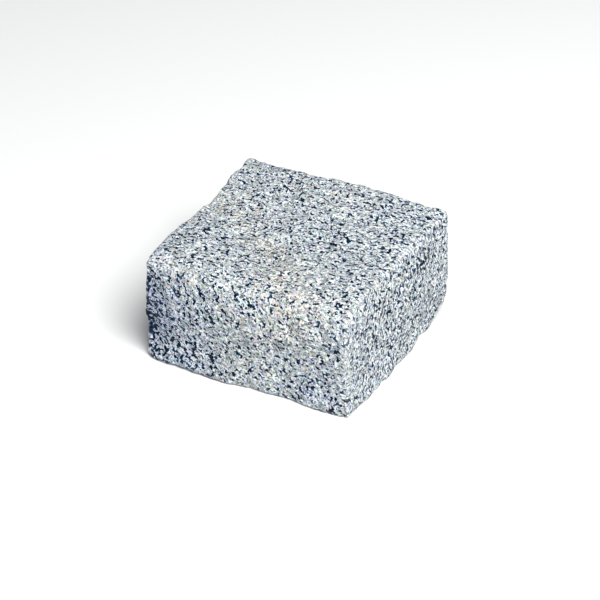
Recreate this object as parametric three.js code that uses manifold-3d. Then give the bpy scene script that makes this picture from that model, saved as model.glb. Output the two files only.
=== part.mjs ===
// Granite sett: a low block cropped from grey granite, laid with others to pave ground.
//
// It is one piece of stone. Its six faces are
//   bed                       the underside, flat where it stands
//   head                      the upper face, which is walked on
//   front, back, left, right  the cropped sides
// Cropping splits the stone instead of sawing it. The faces stray from a true box, swell
// and hollow a little, and carry low ledges; the arrises are bruised round and lose flakes.
//
// Millimetres, +Z up. X runs along the front face and Y from front to back. The origin is
// on the bed, under the middle of the block.
import * as THREE from "three";
import { ImprovedNoise } from "three/addons/math/ImprovedNoise.js";
import { mergeVertices } from "three/addons/utils/BufferGeometryUtils.js";
import Module from "manifold-3d";

const wasm = await Module();
wasm.setup();

// ---- Driving dimensions ----

const length = 100; // X
const width = 95; // Y
const height = 52; // Z, bed to head
const half = new THREE.Vector3(length, width, height).multiplyScalar(0.5);

// How far each corner strays from the true box, [x, y, z].
const strays = {
  bed: {
    frontLeft: [-3.8, 1.2, -0.6],
    frontRight: [-0.6, 2.1, -0.6],
    backRight: [0.0, 0.2, -0.6],
    backLeft: [-0.6, 0.0, -0.6],
  },
  head: {
    frontLeft: [-2.5, 1.2, -0.9],
    frontRight: [-2.2, 2.0, 0.3],
    backRight: [-0.6, 2.8, 0.4],
    backLeft: [-1.9, 4.0, 0.9],
  },
};

// The lattice of points that carries the surface, closer together near the arrises.
const cells = { x: 32, y: 30, z: 17 };
const crowding = 0.5; // 0 spaces the points evenly

// Bruised arrises are rounded to a radius that wanders along them.
const arris = { radius: 1.8, wander: 1.4, wavelength: 15 };

// Cleft relief: waves of noise, coarse to fine, that stand out of every face.
const waves = [
  { wavelength: 42, rise: 1.0 },
  { wavelength: 19, rise: 0.8 },
  { wavelength: 9, rise: 0.6 },
];

// Ledges: part of the relief is levelled into steps this high, with steep risers.
const ledge = { step: 0.9, share: 0.55, steepness: 4 };

// The grain nudges every point a little, so that no facet keeps to the lattice.
const grain = { wavelength: 4.7, nudge: 1.1 };

// Broad swells (+) and hollows (-) about a line from one point to another, [x, y, z].
const swells = [
  { name: "trough across the head", from: [-52, 15, 52], to: [-8, -12, 52], reach: 12, rise: -2.2 },
  { name: "shoulder before the trough", from: [-44, -34, 52], to: [-22, -36, 52], reach: 13, rise: 0.7 },
  { name: "swell at the back of the head", from: [-18, 49, 52], to: [14, 49, 52], reach: 17, rise: 2.0 },
  { name: "rolled arris, head and front", from: [-42, -46, 52], to: [40, -46, 52], reach: 8, rise: -2.4 },
  { name: "rolled arris, head and right", from: [50, -34, 52], to: [50, 4, 52], reach: 7, rise: -1.2 },
  { name: "rolled arris, head and left", from: [-52, -34, 52], to: [-52, 8, 52], reach: 8, rise: -1.0 },
  { name: "rolled arris, front and left", from: [-52, -48, 6], to: [-52, -48, 46], reach: 9, rise: -2.2 },
  { name: "belly of the front", from: [-14, -47, 30], to: [24, -47, 32], reach: 15, rise: 1.2 },
  { name: "toe, front right", from: [30, -48, 0], to: [38, -48, 0], reach: 7, rise: 2.2 },
  { name: "toe, front left", from: [-40, -48, 0], to: [-14, -48, 0], reach: 8, rise: 2.2 },
  { name: "hollow foot, front right", from: [18, -47, 10], to: [36, -47, 13], reach: 11, rise: -1.5 },
  { name: "hollow foot, front left", from: [-48, -47, 14], to: [-26, -47, 14], reach: 12, rise: -1.6 },
  { name: "belly of the right side", from: [49, 10, 24], to: [49, 46, 24], reach: 17, rise: 2.1 },
  { name: "toe of the right side", from: [50, -34, 0], to: [50, 21, 0], reach: 9, rise: 1.4 },
  { name: "hollow of the back", from: [-20, 47, 26], to: [18, 47, 16], reach: 16, rise: -2.0 },
  { name: "belly of the left side", from: [-50, -14, 26], to: [-50, 22, 16], reach: 17, rise: 1.6 },
];

// Flake scars, the shallow dishes left where flakes broke off: the point of the arris that
// was struck, the way the scar faces, half its length along the arris, and its depth there.
const alongX = [1, 0, 0];
const alongY = [0, 1, 0];
const alongZ = [0, 0, 1];
const flakes = [
  { name: "head and front", at: [20, -47, 51], faces: [0.1, -1, 0.8], along: alongX, reach: 17, depth: 2.8 },
  { name: "head, front left", at: [-24, -46, 51], faces: [0, -1, 1], along: alongX, reach: 12, depth: 1.4 },
  { name: "head and right", at: [50, -14, 52], faces: [1, 0, 0.9], along: alongY, reach: 15, depth: 3.2 },
  { name: "head, right back", at: [50, 16, 52], faces: [1, 0, 1], along: alongY, reach: 9, depth: 1.2 },
  { name: "front and left", at: [-53, -48, 26], faces: [-1, -1, 0], along: alongZ, reach: 20, depth: 2.4 },
  { name: "front and right", at: [50, -48, 18], faces: [1, -1, 0], along: alongZ, reach: 8, depth: 1.2 },
  { name: "right, back and bed", at: [51, 42, 0], faces: [1, 0.4, -1], along: alongY, reach: 17, depth: 4.6 },
  { name: "front and bed", at: [10, -48, 0], faces: [0, -1, -1], along: alongX, reach: 10, depth: 1.0 },
  { name: "head and back", at: [-22, 50, 52], faces: [0, 1, 0.6], along: alongX, reach: 12, depth: 1.0 },
  { name: "head and left", at: [-53, 22, 52], faces: [-1, 0, 1], along: alongY, reach: 12, depth: 2.3 },
  { name: "left and bed", at: [-52, -6, 0], faces: [-1, 0, -0.9], along: alongY, reach: 18, depth: 3.0 },
  { name: "back and left", at: [-52, 48, 26], faces: [-1, 1, 0], along: alongZ, reach: 16, depth: 2.6 },
  { name: "back and bed", at: [-8, 48, 0], faces: [0, 1, -0.8], along: alongX, reach: 20, depth: 3.4 },
];
const dish = { radius: 24, roughness: 0.6, wavelength: 8, detail: 14 };

// Points of a surface that lie closer together than this are one.
const weld = 1e-4;

// ---- Noise ----

const perlin = new ImprovedNoise();

// Where each use reads the noise, so that no two of them follow each other.
const offsets = { arris: 3.7, dish: 5.1, wave: 11.3, grain: [21.7, 43.1, 67.9] };

// Smooth noise from about -1 to 1, with bumps about a wavelength across.
function noise(point, wavelength, offset = 0) {
  return perlin.noise(
    point.x / wavelength + offset,
    point.y / wavelength + offset,
    point.z / wavelength - offset,
  );
}

// Three noises that don't follow each other, as the x, y and z of a vector.
function jostle(point) {
  const [x, y, z] = offsets.grain.map((offset) => noise(point, grain.wavelength, offset));
  return new THREE.Vector3(x, y, z);
}

// Levels a height into steps, each a flat tread and a steep riser.
function terraced(rise) {
  const steps = rise / ledge.step;
  const tread = Math.floor(steps);
  const riser = THREE.MathUtils.smoothstep(steps - tread, 0, 1) ** ledge.steepness;
  return (tread + riser) * ledge.step;
}

// ---- The cropped block ----

// Moves a lattice coordinate between -1 and 1 towards the nearer end.
function crowded(u) {
  return THREE.MathUtils.lerp(u, Math.sin((u * Math.PI) / 2), crowding);
}

// Rounds a point of the true box, centred on the origin, where it is close to an arris.
function rounded(point) {
  const radius = arris.radius + arris.wander * noise(point, arris.wavelength, offsets.arris);
  const inner = half.clone().subScalar(radius);
  const core = point.clone().clamp(inner.clone().negate(), inner);
  return core.add(point.clone().sub(core).setLength(radius));
}

// Carries a point of the true box to the strayed block that stands on the bed.
function strayed(point) {
  const share = point.clone().divide(half).addScalar(1).multiplyScalar(0.5);
  const moved = point.clone().setZ(point.z + half.z);
  for (const [level, corners] of Object.entries(strays)) {
    for (const [corner, stray] of Object.entries(corners)) {
      const weight =
        (level === "head" ? share.z : 1 - share.z) *
        (corner.startsWith("back") ? share.y : 1 - share.y) *
        (corner.endsWith("Right") ? share.x : 1 - share.x);
      moved.addScaledVector(new THREE.Vector3(...stray), weight);
    }
  }
  return moved;
}

// How far the split surface stands out of the plain block at a point.
function relief(point) {
  let cleft = 0;
  waves.forEach(({ wavelength, rise }, i) => {
    cleft += rise * noise(point, wavelength, offsets.wave * (i + 1));
  });
  let height = THREE.MathUtils.lerp(cleft, terraced(cleft), ledge.share);
  for (const { from, to, reach, rise } of swells) {
    const line = new THREE.Line3(new THREE.Vector3(...from), new THREE.Vector3(...to));
    const nearest = line.closestPointToPoint(point, true, new THREE.Vector3());
    height += rise * Math.exp(-((nearest.distanceTo(point) / reach) ** 2));
  }
  return height;
}

function croppedBlock() {
  const box = new THREE.BoxGeometry(2, 2, 2, cells.x, cells.y, cells.z);
  box.deleteAttribute("normal");
  box.deleteAttribute("uv");
  const block = mergeVertices(box, weld);
  const places = block.getAttribute("position");
  const point = new THREE.Vector3();
  for (let i = 0; i < places.count; i++) {
    point.fromBufferAttribute(places, i);
    point.set(crowded(point.x), crowded(point.y), crowded(point.z)).multiply(half);
    places.setXYZ(i, ...strayed(rounded(point)).toArray());
  }
  block.computeVertexNormals();
  const outward = new THREE.Vector3();
  for (let i = 0; i < places.count; i++) {
    point.fromBufferAttribute(places, i);
    outward.fromBufferAttribute(block.getAttribute("normal"), i);
    const raised = point.clone().addScaledVector(outward, relief(point));
    places.setXYZ(i, ...raised.addScaledVector(jostle(point), grain.nudge).toArray());
  }
  turnDiagonals(block);
  return solidOf(block);
}

// Splits each four-sided cell of the lattice along its shorter diagonal.
function turnDiagonals(block) {
  const places = block.getAttribute("position");
  const corner = (i) => new THREE.Vector3().fromBufferAttribute(places, i);
  const index = block.index.array;
  for (let i = 0; i < index.length; i += 6) {
    const [a, b, d, , c] = index.slice(i, i + 6);
    if (corner(a).distanceTo(corner(c)) < corner(b).distanceTo(corner(d))) {
      index.set([a, b, c, a, c, d], i);
    }
  }
}

// ---- Cutting ----

function solidOf(geometry) {
  const bare = geometry.clone();
  bare.deleteAttribute("normal");
  bare.deleteAttribute("uv");
  const merged = mergeVertices(bare, weld);
  return new wasm.Manifold(
    new wasm.Mesh({
      numProp: 3,
      vertProperties: merged.getAttribute("position").array,
      triVerts: new Uint32Array(merged.index.array),
    }),
  );
}

function geometryOf(solid) {
  const { vertProperties, triVerts } = solid.getMesh();
  const geometry = new THREE.BufferGeometry();
  geometry.setAttribute("position", new THREE.BufferAttribute(vertProperties, 3));
  geometry.setIndex(new THREE.BufferAttribute(triVerts, 1));
  return geometry;
}

// The rough ball, long in the arris's direction, whose cap scoops out one flake scar.
function scoop({ at, faces, along, reach, depth }) {
  const ball = new THREE.IcosahedronGeometry(1, dish.detail);
  const up = new THREE.Vector3(...faces).normalize();
  const run = new THREE.Vector3(...along).projectOnPlane(up).normalize();
  const across = up.clone().cross(run);
  const sunk = 1 - depth / dish.radius; // how far the arris lies from the ball's centre
  const stretch = reach / Math.sqrt(1 - sunk ** 2);
  const centre = new THREE.Vector3(...at).addScaledVector(up, dish.radius - depth);
  const place = new THREE.Matrix4()
    .makeBasis(run, across, up)
    .scale(new THREE.Vector3(stretch, dish.radius, dish.radius))
    .setPosition(centre);
  ball.applyMatrix4(place);
  const places = ball.getAttribute("position");
  const point = new THREE.Vector3();
  for (let i = 0; i < places.count; i++) {
    point.fromBufferAttribute(places, i);
    point.addScaledVector(up, dish.roughness * noise(point, dish.wavelength, offsets.dish));
    places.setXYZ(i, ...point.toArray());
  }
  return solidOf(ball);
}

// The ground under the block, which takes the bed's high spots off flat.
function ground() {
  const plate = new THREE.BoxGeometry(3 * length, 3 * width, height);
  return solidOf(plate.translate(0, 0, -height / 2));
}

function cutStone() {
  let stone = croppedBlock();
  for (const flake of flakes) stone = stone.subtract(scoop(flake));
  return stone.subtract(ground());
}

// ---- The sett ----

const granite = new THREE.MeshStandardMaterial({
  name: "grey granite",
  color: "#b4bcc1",
  roughness: 0.8,
  metalness: 0,
});

function makeSett() {
  const stone = geometryOf(cutStone());
  stone.computeBoundingBox();
  const middle = stone.boundingBox.getCenter(new THREE.Vector3());
  stone.translate(-middle.x, -middle.y, -stone.boundingBox.min.z);
  stone.computeVertexNormals();
  const mesh = new THREE.Mesh(stone, granite);
  mesh.name = "sett";
  return mesh;
}

const part = new THREE.Group();
part.name = "granite sett";
part.add(makeSett());

export default part;
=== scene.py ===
import math
from statistics import NormalDist

import bmesh
import bpy
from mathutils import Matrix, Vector, noise


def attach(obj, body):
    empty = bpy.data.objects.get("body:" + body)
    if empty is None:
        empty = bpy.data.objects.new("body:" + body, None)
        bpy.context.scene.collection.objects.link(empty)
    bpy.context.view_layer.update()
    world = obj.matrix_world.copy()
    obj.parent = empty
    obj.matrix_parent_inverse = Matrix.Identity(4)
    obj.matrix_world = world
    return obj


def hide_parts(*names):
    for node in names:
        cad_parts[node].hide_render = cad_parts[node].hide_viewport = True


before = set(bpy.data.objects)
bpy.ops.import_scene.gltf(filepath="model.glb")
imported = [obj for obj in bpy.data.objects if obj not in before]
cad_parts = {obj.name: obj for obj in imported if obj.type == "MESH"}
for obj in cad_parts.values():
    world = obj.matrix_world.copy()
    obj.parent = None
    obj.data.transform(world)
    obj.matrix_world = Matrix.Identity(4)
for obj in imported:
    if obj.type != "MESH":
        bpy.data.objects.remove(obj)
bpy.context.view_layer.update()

mm = 0.001

print("tools")


def linear(hexColour):
    # sRGB hex to the linear RGBA that sockets hold
    channels = [int(hexColour[i:i + 2], 16) / 255 for i in (1, 3, 5)]
    return [c / 12.92 if c <= 0.04045 else ((c + 0.055) / 1.055) ** 2.4 for c in channels] + [1.0]


def addNode(tree, kind, inputs=None, stops=None, **settings):
    # one node with its settings, its values or links by input name, and a ramp's stops
    made = tree.nodes.new(kind)
    for name, value in settings.items():
        setattr(made, name, value)
    for key, value in (inputs or {}).items():
        if isinstance(value, bpy.types.NodeSocket):
            tree.links.new(value, made.inputs[key])
        else:
            made.inputs[key].default_value = value
    if stops:
        ramp = made.color_ramp
        while len(ramp.elements) < len(stops):
            ramp.elements.new(1.0)
        for element, (place, colour) in zip(ramp.elements, stops):
            element.position = place
            element.color = colour
    return made


def perMetre(millimetres):
    # texture scale that makes one cell or wave this many millimetres across
    return 1000 / millimetres


def outwards(settings):
    # unit vector from the stone towards a camera or light, which stands so many degrees
    # round from the front face towards the right side, and so many up
    azimuth = math.radians(settings["azimuth"])
    elevation = math.radians(settings["elevation"])
    return Vector((
        math.sin(azimuth) * math.cos(elevation),
        -math.cos(azimuth) * math.cos(elevation),
        math.sin(elevation),
    ))


print("camera")

camera = {
    "azimuth": 27.9,
    "elevation": 33.4,
    "distance": 1.2,
    "lens": 162,  # mm
    "sensor": 36,  # mm
    "aim": Vector((1.51, 0.80, 17.8)) * mm,
}


def makeCamera():
    data = bpy.data.cameras.new("camera")
    data.lens = camera["lens"]
    data.sensor_width = camera["sensor"]
    made = bpy.data.objects.new("camera", data)
    bpy.context.scene.collection.objects.link(made)
    back = outwards(camera)
    made.location = camera["aim"] + back * camera["distance"]
    made.rotation_euler = back.to_track_quat("Z", "Y").to_euler()
    bpy.context.scene.camera = made


makeCamera()

print("stone")

stone = {
    "rounding": 2,  # levels that round the solid's broad facets
    "voxel": 0.74 * mm,  # side of the faces that carry the split surface
    "relax": 3,  # rounds of smoothing after the remesh
    "seed": Vector((3.1, 7.7, 5.3)),
    # unevenness of the split surface, the broad waves and the fine
    "swells": {"wavelength": 6.5 * mm, "height": 0.36 * mm},
    "ripples": {"wavelength": 2.9 * mm, "height": 0.24 * mm},
    # crystals that stand a step high or low and break at a slope; the last two only shuffle them
    "crystals": {"size": 1.7 * mm, "step": 0.2 * mm, "tilt": 0.26, "stepMix": 7.31, "tiltMix": 3.17},
    # an arris is what stands out of the stone's own form after so many rounds of smoothing;
    # it counts in full from that height, and each one whitens by at least this share
    "bruise": {"rounds": 24, "full": 0.42 * mm, "least": 0.06},
    # share of the surface that is mica, what its strings add, and the limits
    "mica": {
        "share": 0.22,
        "strings": 0.1,
        "wavelength": 7 * mm,  # of the field whose zero line the strings follow
        "octaves": 3,
        "width": 0.06,
        "least": 0.03,
        "most": 0.74,
    },
    # where mica is gathered: middle and reach in mm, then the share it adds
    "clots": [
        ((-48, -47, 24), (10, 12, 19), 0.44),
        ((-52, -50, 26), (5, 9, 22), 0.3),
        ((-36, -49, 6), (18, 8, 9), 0.16),
        ((-18, -49, 10), (7, 6, 6), 0.14),
        ((0, -48, 46), (17, 5, 5), 0.11),
        ((-20, -49, 30), (13, 6, 11), 0.1),
        ((-16, -50, 34), (3, 4, 3), 0.25),
        ((33, -47, 11), (14, 6, 12), 0.08),
        ((-49, -40, 52), (6, 8, 5), 0.04),
        ((43, -49, 37), (5, 4, 6), 0.22),
        ((-34, -22, 52), (19, 14, 5), 0.12),
        ((-8, 3, 52), (9, 4, 4), 0.04),
        ((30, 40, 53), (12, 8, 4), 0.08),
        ((50, 43, 51), (6, 8, 5), 0.1),
        ((44, 0, 52), (6, 14, 4), 0.06),
        ((44, -34, 51), (5, 6, 4), 0.1),
        ((-27, 37, 53), (8, 7, 5), 0.14),
        ((18, 7, 52), (7, 8, 4), 0.14),
        ((51, 23, 42), (6, 7, 7), 0.22),
        ((52, 32, 5), (6, 10, 6), 0.14),
        ((51, 2, 28), (9, 46, 26), 0.165),
        # and where it is thin
        ((-46, 10, 50), (7, 10, 6), -0.13),
        ((-46, 46, 52), (6, 5, 5), -0.1),
        ((-46, -31, 51), (8, 7, 5), -0.06),
        ((8, -34, 49), (20, 14, 9), -0.06),
        ((10, -50, 28), (30, 7, 20), -0.055),
        ((28, -48, 43), (13, 7, 8), -0.12),
        ((38, -48, 28), (9, 6, 8), -0.06),
        ((51, -4, 34), (5, 9, 12), -0.04),
        ((-30, -47, 46), (16, 7, 6), -0.06),
    ],
    # where iron stains the stone warm (above 0), above all the warm streak that crosses the head
    # and runs down the front, and where painted shade makes it darker and bluer (below 0)
    "stainsAndShades": [
        ((-42, 9, 50), (10, 10, 8), 0.55),
        ((-27, 0, 50), (10, 9, 8), 0.6),
        ((-7, -14, 50), (11, 10, 8), 1.0),
        ((10, -33, 51), (12, 12, 8), 0.95),
        ((26, -43, 49), (12, 9, 9), 0.8),
        ((15, -49, 34), (13, 8, 11), 0.55),
        ((3, -48, 16), (10, 6, 8), 0.45),
        ((49, -16, 47), (8, 12, 7), 0.35),
        ((-8, -48, 5), (10, 6, 6), 0.3),
        ((6, 36, 53), (14, 10, 6), 0.35),
        ((-28, -40, 50), (14, 9, 6), 0.3),
        ((27, -49, 36), (8, 7, 9), 0.25),
        ((51, 2, 24), (5, 46, 26), 0.26),
        # painted shade: darker, bluer stone at the dark left end and in places on the front
        ((-50, -47, 26), (13, 14, 26), -1.0),
        ((-32, -48, 22), (15, 8, 20), -0.5),
        ((32, -48, 12), (14, 7, 11), -0.35),
        ((-27, -50, 4), (13, 6, 7), -0.5),
        ((46, -48, 38), (7, 6, 7), -0.5),
    ],
    # arrises knocked white: middle, reach and strength again
    "knocks": [
        ((50, -43, 30), (6, 6, 15), 0.55),
        ((51, -2, 51), (5, 27, 5), 0.2),
    ],
    # small chips off the arrises (below 0) and spurs left on them (above 0), in mm at their middle
    "chips": [
        ((-31, -50, 1), (6, 5, 5), -1.6),
        ((-20, -50, 1), (3, 5, 4), -0.6),
        ((-1, -50, 1), (4, 5, 4), -0.6),
        ((23, -49, 1), (6, 5, 4), -0.8),
        ((35, -50, 1), (4, 5, 4), -0.6),
        ((52, -36, 2), (5, 4, 5), -1.0),
        ((53, -12, 2), (5, 8, 5), 0.8),
        ((53, 12, 3), (5, 5, 5), 1.3),
        ((52, 24, 5), (5, 4, 5), -1.8),
        ((53, 34, 6), (5, 4, 5), 0.7),
        ((-48, 47, 52), (5, 5, 5), 1.3),
        ((-37, 47, 53), (5, 5, 4), -0.7),
        ((-49, 18, 51), (5, 5, 5), -0.6),
        ((50, 48, 51), (5, 5, 5), 1.1),
    ],
}


def stoneCopy():
    # the CAD solid's own mesh, merged, because a node's triangles are loose
    shape = bmesh.new()
    shape.from_mesh(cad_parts["sett"].data)
    bmesh.ops.remove_doubles(shape, verts=shape.verts, dist=0.002 * mm)
    mesh = bpy.data.meshes.new("cropped_granite")
    shape.to_mesh(mesh)
    shape.free()
    made = bpy.data.objects.new("cropped_granite", mesh)
    bpy.context.scene.collection.objects.link(made)
    return made


def applyModifiers(piece):
    depsgraph = bpy.context.evaluated_depsgraph_get()
    finished = bpy.data.meshes.new_from_object(piece.evaluated_get(depsgraph))
    piece.modifiers.clear()
    piece.data = finished


def refine(piece):
    # rounds the broad facets, then spreads even small faces over the whole block
    rounder = piece.modifiers.new("rounder", "SUBSURF")
    rounder.levels = rounder.render_levels = stone["rounding"]
    remesher = piece.modifiers.new("remesher", "REMESH")
    remesher.mode = "VOXEL"
    remesher.voxel_size = stone["voxel"]
    applyModifiers(piece)


def smooth(shape, rounds):
    for _ in range(rounds):
        bmesh.ops.smooth_vert(shape, verts=shape.verts, factor=0.5,
                              use_axis_x=True, use_axis_y=True, use_axis_z=True)
    shape.normal_update()


def crystalHeight(place):
    # every crystal breaks along its own tilted plane, a little above or below its neighbours
    crystals = stone["crystals"]
    cell = place / crystals["size"] + stone["seed"]
    _, centres = noise.voronoi(cell)
    centre = centres[0]
    half = Vector((0.5, 0.5, 0.5))
    chance = noise.cell_vector(centre * crystals["stepMix"])
    slope = noise.cell_vector(centre * crystals["tiltMix"] + half) - half
    away = (cell - centre) * crystals["size"]
    return (chance.x - half.x) * crystals["step"] + slope.dot(away) * crystals["tilt"]


def splitHeight(place):
    swells, ripples = stone["swells"], stone["ripples"]
    return (
        noise.noise(place / swells["wavelength"] + stone["seed"]) * swells["height"]
        + noise.noise(place / ripples["wavelength"] - stone["seed"]) * ripples["height"]
        + crystalHeight(place)
        + spread(place, stone["chips"]) * mm
    )


def spread(place, spots):
    # how strongly the listed spots reach this place
    total = 0
    for middle, reach, strength in spots:
        away = [(place[i] / mm - middle[i]) / reach[i] for i in range(3)]
        total += strength * math.exp(-sum(a * a for a in away))
    return total


def micaLift(place):
    # thin everywhere, thicker along wandering strings and in the clots; the share of the
    # surface that is mica is given as deviations, so that a random field can be cut at it
    mica = stone["mica"]
    wander = noise.fractal(place / mica["wavelength"] + stone["seed"], 1.0, 2.0, mica["octaves"])
    string = math.exp(-(wander / mica["width"]) ** 2)
    share = mica["share"] + mica["strings"] * string + spread(place, stone["clots"])
    return NormalDist().inv_cdf(min(max(share, mica["least"]), mica["most"]))


def roughen(piece):
    # splits the smooth block, and notes on its points what the granite needs to know
    shape = bmesh.new()
    shape.from_mesh(piece.data)
    smooth(shape, stone["relax"])
    places = [vert.co.copy() for vert in shape.verts]
    normals = [vert.normal.copy() for vert in shape.verts]
    bruise = stone["bruise"]
    smooth(shape, bruise["rounds"])
    bruises = [
        min(max((place - vert.co).dot(normal) / bruise["full"], 0), 1)
        * min(bruise["least"] + spread(place, stone["knocks"]), 1)
        for vert, place, normal in zip(shape.verts, places, normals)
    ]
    for vert, place, normal in zip(shape.verts, places, normals):
        vert.co = place + normal * splitHeight(place)
        vert.co.z = max(vert.co.z, 0)
    shape.to_mesh(piece.data)
    shape.free()
    piece.data.update()
    piece.data.shade_smooth()
    for name, values in (
        ("bruise", bruises),
        ("mica", [micaLift(place) for place in places]),
        # iron stain above 0, painted shade below 0
        ("stainAndShade", [spread(place, stone["stainsAndShades"]) for place in places]),
    ):
        piece.data.attributes.new(name, "FLOAT", "POINT").data.foreach_set("value", values)


print("granite")

granite = {
    "crystal": 1.0,  # mm, feldspar crystals
    "mica": 1.62,  # mm, one wave of the field whose peaks are mica
    "quartz": 1.4,  # mm, one wave of the field whose middle line the grey quartz follows
    "turn": [math.radians(a) for a in (-10, 34, 0)],  # long way of the fabric dips to the right
    "stretch": (1.28, 0.84, 0.95),  # crystals drawn out along it and flattened front to back
    "start": (0.2, 0.14, -0.1),  # where in its endless pattern the block was cut
    "waver": 1.0,  # mm, waves in the crystals' borders
    "waverBy": 0.8 * mm,
    "hue": 2.9,  # mm, patches of warmer and cooler stone
    "drift": 0.68,  # how far they run from warm to cool
    "whitens": (0.5, 0.8),  # tones between which a crystal passes from any other to white
    "driftWhite": 0.15,  # share of the drift that a white crystal takes
    "bloom": 1.8,  # mm, patches of greener and pinker stone
    "bloomBy": 0.42,
    "mottle": 1.95,  # fine light and dark within the crystals
    "quartzSlice": 7.0,  # keeps the quartz's field apart from the mica's
    "quartzWidens": (0.45, 0.62),  # its runs go from nothing to full width as a second field does
    "quartzWidth": 0.06,
    "quartzColour": "#4E5D6E",
    "micaSpread": 0.08,  # one deviation of the mica's field, whose mean is 0.5
    "choice": 1.2,  # deviations by which mica prefers one crystal's place to the next one's
    "bruiseClears": 0.5,  # deviations by which a full bruise thins the mica
    "rim": (-1.0, -0.3),  # deviations short of mica at which its pale rim starts and is full
    "rimWhite": 0.92,
    "near": (-1.8, 0.0),  # the same for the bluish stone around it
    "crushedColour": "#F1F1EE",
    "grit": 0.5,  # mm, finest unevenness that still shows
    "gritHeight": 0.12 * mm,
    "step": 0.1 * mm,  # crystals differ in height by up to this
    "tilt": 0.5,  # slope of the steepest crystal faces
    "feldsparRoughness": (0.42, 0.64),  # cloudy, and white
    "micaRoughness": 0.38,
    "ior": 1.53,
    "specular": 0.04,
}


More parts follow.
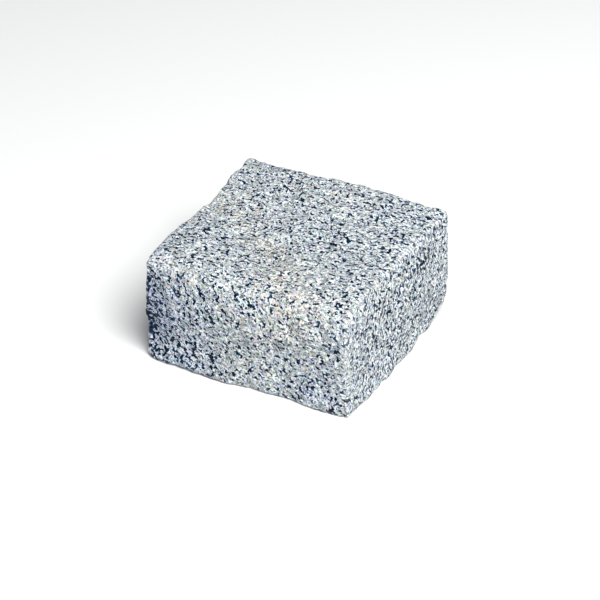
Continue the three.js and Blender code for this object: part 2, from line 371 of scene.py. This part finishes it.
def makeGranite():
    # cropped grey granite: white feldspar, grey quartz and black mica, all split rough,
    # so the eye sees a dull, pale pepper-and-salt that is bluest around the mica
    material = bpy.data.materials.new("cropped_grey_granite")
    material.use_nodes = True
    tree = material.node_tree
    tree.nodes.clear()
    place = addNode(tree, "ShaderNodeTexCoord").outputs["Object"]
    bruise = addNode(tree, "ShaderNodeAttribute", attribute_name="bruise").outputs["Fac"]
    mica = addNode(tree, "ShaderNodeAttribute", attribute_name="mica").outputs["Fac"]
    stainAndShade = addNode(tree, "ShaderNodeAttribute", attribute_name="stainAndShade").outputs["Fac"]

    # crystals meet along wavering borders
    waver = addNode(tree, "ShaderNodeTexNoise", {
        "Vector": place, "Scale": perMetre(granite["waver"]), "Detail": 2.0,
    })
    wavered = addNode(tree, "ShaderNodeVectorMath", {
        0: waver.outputs["Color"], 1: (granite["waverBy"],) * 3, 2: place,
    }, operation="MULTIPLY_ADD").outputs[0]
    wavy = addNode(tree, "ShaderNodeMapping", {
        "Vector": wavered, "Location": granite["start"], "Rotation": granite["turn"],
        "Scale": granite["stretch"],
    }, vector_type="TEXTURE").outputs[0]
    grit = addNode(tree, "ShaderNodeTexNoise", {
        "Vector": place, "Scale": perMetre(granite["grit"]), "Detail": 3.0,
    }).outputs[0]
    hues = addNode(tree, "ShaderNodeTexNoise", {
        "Vector": place, "Scale": perMetre(granite["hue"]), "Detail": 1.5,
    }).outputs[0]

    # feldspar crystals, each its own tone and tint
    crystals = addNode(tree, "ShaderNodeTexVoronoi", {
        "Vector": wavy, "Scale": perMetre(granite["crystal"]),
    })
    crystal = addNode(tree, "ShaderNodeSeparateColor", {"Color": crystals.outputs["Color"]})
    tone = addNode(tree, "ShaderNodeValToRGB", {"Fac": crystal.outputs[0]}, stops=[
        (0.0, linear("#6E767D")),  # cloudy
        (0.2, linear("#A4AAAF")),
        (0.5, linear("#C9CECF")),
        (0.75, linear("#DEE1E0")),
        (0.82, linear("#F2F4F3")),  # fresh cleavage
    ])
    tint = addNode(tree, "ShaderNodeValToRGB", {"Fac": crystal.outputs[1]}, stops=[
        (0.0, linear("#EDF3F8")),
        (0.3, linear("#F2F7FA")),
        (0.55, linear("#F8F4F8")),
        (0.75, linear("#F1F8F3")),
        (1.0, linear("#F6F6F4")),
    ])
    tinted = addNode(tree, "ShaderNodeMix", {
        "Factor": 1.0, "A": tone.outputs[0], "B": tint.outputs[0],
    }, data_type="RGBA", blend_type="MULTIPLY").outputs["Result"]

    # grey quartz in short crooked runs
    quartzField = addNode(tree, "ShaderNodeTexNoise", {
        "Vector": wavy, "Scale": perMetre(granite["quartz"]), "Detail": 1.0,
        "W": granite["quartzSlice"],
    }, noise_dimensions="4D").outputs["Color"]
    quartz = addNode(tree, "ShaderNodeSeparateColor", {"Color": quartzField})
    apart = addNode(tree, "ShaderNodeMath", {
        0: quartz.outputs[0], 1: 0.5,
    }, operation="SUBTRACT").outputs[0]
    gap = addNode(tree, "ShaderNodeMath", {0: apart}, operation="ABSOLUTE").outputs[0]
    width = addNode(tree, "ShaderNodeMapRange", {
        "Value": quartz.outputs[1], "From Min": granite["quartzWidens"][0],
        "From Max": granite["quartzWidens"][1], "To Max": granite["quartzWidth"],
    }).outputs[0]
    isQuartz = addNode(tree, "ShaderNodeMath", {0: gap, 1: width}, operation="LESS_THAN").outputs[0]
    quartzed = addNode(tree, "ShaderNodeMix", {
        "Factor": isQuartz, "A": tinted, "B": linear(granite["quartzColour"]),
    }, data_type="RGBA").outputs["Result"]

    # patches drift between warm and cool, least in the whitest crystals
    drift = addNode(tree, "ShaderNodeVectorMath", {
        0: hues, 1: (-granite["drift"], 0.0, granite["drift"]),
        2: (1 + granite["drift"] / 2, 1.0, 1 - granite["drift"] / 2),
    }, operation="MULTIPLY_ADD").outputs[0]
    taken = addNode(tree, "ShaderNodeMapRange", {
        "Value": crystal.outputs[0], "From Min": granite["whitens"][0],
        "From Max": granite["whitens"][1], "To Min": 1.0, "To Max": granite["driftWhite"],
    }).outputs[0]
    drifted = addNode(tree, "ShaderNodeMix", {
        "Factor": taken, "A": quartzed, "B": drift,
    }, data_type="RGBA", blend_type="MULTIPLY").outputs["Result"]

    # mica is the peaks of its own field; a paler rim of feldspar grew around each flake
    micaField = addNode(tree, "ShaderNodeTexNoise", {
        "Vector": wavy, "Scale": perMetre(granite["mica"]), "Detail": 2.0,
    }).outputs[0]
    deviation = addNode(tree, "ShaderNodeMapRange", {
        "Value": micaField, "From Min": 0.5, "From Max": 0.5 + granite["micaSpread"],
        "To Min": granite["choice"] / 2, "To Max": 1 + granite["choice"] / 2,
    }, clamp=False).outputs[0]
    chosen = addNode(tree, "ShaderNodeMath", {
        0: crystal.outputs[2], 1: -granite["choice"], 2: deviation,
    }, operation="MULTIPLY_ADD").outputs[0]
    lift = addNode(tree, "ShaderNodeMath", {
        0: bruise, 1: -granite["bruiseClears"], 2: mica,
    }, operation="MULTIPLY_ADD").outputs[0]
    drive = addNode(tree, "ShaderNodeMath", {0: chosen, 1: lift}, operation="ADD").outputs[0]
    isMica = addNode(tree, "ShaderNodeMath", {0: drive, 1: 0.0}, operation="GREATER_THAN").outputs[0]
    rim = addNode(tree, "ShaderNodeMapRange", {
        "Value": drive, "From Min": granite["rim"][0], "From Max": granite["rim"][1],
        "To Max": granite["rimWhite"],
    }).outputs[0]
    rimmed = addNode(tree, "ShaderNodeMix", {
        "Factor": rim, "A": drifted, "B": linear("#FFFFFF"),
    }, data_type="RGBA").outputs["Result"]

    # iron warms the streak, and painted shade darkens and blues the dark end and places on the front
    stainAndShadePlace = addNode(tree, "ShaderNodeMapRange", {
        "Value": stainAndShade, "From Min": -1.0, "From Max": 1.0,
    }).outputs[0]
    stainAndShadeTint = addNode(tree, "ShaderNodeValToRGB", {"Fac": stainAndShadePlace}, stops=[
        # painted shade, darker and bluer
        (0.0, linear("#E1E5F4")),
        (0.5, linear("#F7F9FA")),
        (1.0, linear("#FBF6EE")),
    ]).outputs[0]
    stainedAndShaded = addNode(tree, "ShaderNodeMix", {
        "Factor": 1.0, "A": rimmed, "B": stainAndShadeTint,
    }, data_type="RGBA", blend_type="MULTIPLY").outputs["Result"]

    # and feldspar is bluer the nearer it lies to mica
    near = addNode(tree, "ShaderNodeMapRange", {
        "Value": drive, "From Min": granite["near"][0], "From Max": granite["near"][1],
    }).outputs[0]
    nearness = addNode(tree, "ShaderNodeValToRGB", {"Fac": near}, stops=[
        (0.0, linear("#FFFAF3")),
        (0.5, linear("#FAF9F8")),
        (1.0, linear("#DEECFD")),
    ]).outputs[0]
    neared = addNode(tree, "ShaderNodeMix", {
        "Factor": 1.0, "A": stainedAndShaded, "B": nearness,
    }, data_type="RGBA", blend_type="MULTIPLY").outputs["Result"]

    # fine clouds, and a bloom of green or pink over them
    clouds = addNode(tree, "ShaderNodeVectorMath", {
        0: waver.outputs["Fac"], 1: (granite["mottle"],) * 3, 2: (1 - granite["mottle"] / 2,) * 3,
    }, operation="MULTIPLY_ADD").outputs[0]
    blooms = addNode(tree, "ShaderNodeTexNoise", {
        "Vector": place, "Scale": perMetre(granite["bloom"]), "Detail": 1.0,
    }).outputs[0]
    bloomed = addNode(tree, "ShaderNodeVectorMath", {
        0: blooms, 1: (0.0, granite["bloomBy"], 0.0), 2: (1.0, 1 - granite["bloomBy"] / 2, 1.0),
    }, operation="MULTIPLY_ADD").outputs[0]
    clouded = addNode(tree, "ShaderNodeVectorMath", {
        0: clouds, 1: bloomed,
    }, operation="MULTIPLY").outputs[0]
    varied = addNode(tree, "ShaderNodeMix", {
        "Factor": 1.0, "A": neared, "B": clouded,
    }, data_type="RGBA", blend_type="MULTIPLY").outputs["Result"]

    # over all of it the mica, from black to slate blue
    micaTone = addNode(tree, "ShaderNodeValToRGB", {"Fac": crystal.outputs[1]}, stops=[
        (0.0, linear("#090A10")),
        (0.25, linear("#06121C")),
        (0.5, linear("#0A1634")),
        (0.75, linear("#062235")),
        (1.0, linear("#25465F")),
    ])
    speckled = addNode(tree, "ShaderNodeMix", {
        "Factor": isMica, "A": varied, "B": micaTone.outputs[0],
    }, data_type="RGBA").outputs["Result"]

    # crushed crystals whiten the arrises
    crushed = addNode(tree, "ShaderNodeMath", {
        0: bruise, 1: grit,
    }, operation="MULTIPLY", use_clamp=True).outputs[0]
    colour = addNode(tree, "ShaderNodeMix", {
        "Factor": crushed, "A": speckled, "B": linear(granite["crushedColour"]),
    }, data_type="RGBA").outputs["Result"]

    # mica is the smoothest, and feldspar is duller the whiter it is
    feldspar = addNode(tree, "ShaderNodeMapRange", {
        "Value": crystal.outputs[0], "To Min": granite["feldsparRoughness"][0],
        "To Max": granite["feldsparRoughness"][1],
    }).outputs[0]
    roughness = addNode(tree, "ShaderNodeMix", {
        "Factor": isMica, "A": feldspar, "B": granite["micaRoughness"],
    }).outputs["Result"]

    # each crystal breaks along its own tilted plane, a little high or low, with grit on it
    within = addNode(tree, "ShaderNodeVectorMath", {
        0: wavy, 1: crystals.outputs["Position"],
    }, operation="SUBTRACT").outputs[0]
    slope = addNode(tree, "ShaderNodeVectorMath", {
        0: crystals.outputs["Color"], 1: (granite["tilt"],) * 3, 2: (-granite["tilt"] / 2,) * 3,
    }, operation="MULTIPLY_ADD").outputs[0]
    plane = addNode(tree, "ShaderNodeVectorMath", {
        0: within, 1: slope,
    }, operation="DOT_PRODUCT").outputs["Value"]
    stepped = addNode(tree, "ShaderNodeMath", {
        0: crystal.outputs[2], 1: granite["step"], 2: plane,
    }, operation="MULTIPLY_ADD").outputs[0]
    height = addNode(tree, "ShaderNodeMath", {
        0: grit, 1: granite["gritHeight"], 2: stepped,
    }, operation="MULTIPLY_ADD").outputs[0]
    bump = addNode(tree, "ShaderNodeBump", {"Height": height, "Strength": 1.0, "Distance": 1.0})
    surface = addNode(tree, "ShaderNodeBsdfPrincipled", {
        "Base Color": colour, "Roughness": roughness, "Normal": bump.outputs[0],
        "IOR": granite["ior"], "Specular IOR Level": granite["specular"],
    })
    addNode(tree, "ShaderNodeOutputMaterial", {"Surface": surface.outputs[0]})
    return material


sett = stoneCopy()
refine(sett)
print("faces", len(sett.data.polygons))
roughen(sett)
sett.data.materials.clear()
sett.data.materials.append(makeGranite())
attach(sett, "root")
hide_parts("sett")

print("studio")

studio = {
    "floor": {"size": 6.0, "colour": "#EDEEEE", "roughness": 0.9},
    "key": {"azimuth": 54, "elevation": 55, "distance": 1.4, "size": 1.0, "power": 32.7},
    "sky": 0.2,
}


def makeFloor():
    shape = bmesh.new()
    bmesh.ops.create_grid(shape, x_segments=1, y_segments=1, size=studio["floor"]["size"] / 2)
    mesh = bpy.data.meshes.new("floor")
    shape.to_mesh(mesh)
    shape.free()
    made = bpy.data.objects.new("floor", mesh)
    bpy.context.scene.collection.objects.link(made)
    material = bpy.data.materials.new("lit_table")
    material.use_nodes = True
    surface = material.node_tree.nodes["Principled BSDF"]
    surface.inputs["Base Color"].default_value = linear(studio["floor"]["colour"])
    surface.inputs["Roughness"].default_value = studio["floor"]["roughness"]
    mesh.materials.append(material)


def makeLight(name):
    data = bpy.data.lights.new(name, "AREA")
    data.shape = "DISK"
    data.size = studio[name]["size"]
    data.energy = studio[name]["power"]
    made = bpy.data.objects.new(name, data)
    bpy.context.scene.collection.objects.link(made)
    away = outwards(studio[name])
    made.location = away * studio[name]["distance"]
    made.rotation_euler = away.to_track_quat("Z", "Y").to_euler()


def makeSky():
    world = bpy.data.worlds.new("sky")
    bpy.context.scene.world = world
    world.use_nodes = True
    world.node_tree.nodes["Background"].inputs["Color"].default_value = (1, 1, 1, 1)
    world.node_tree.nodes["Background"].inputs["Strength"].default_value = studio["sky"]


makeFloor()
makeLight("key")
makeSky()
bpy.context.scene.view_settings.view_transform = "Standard"
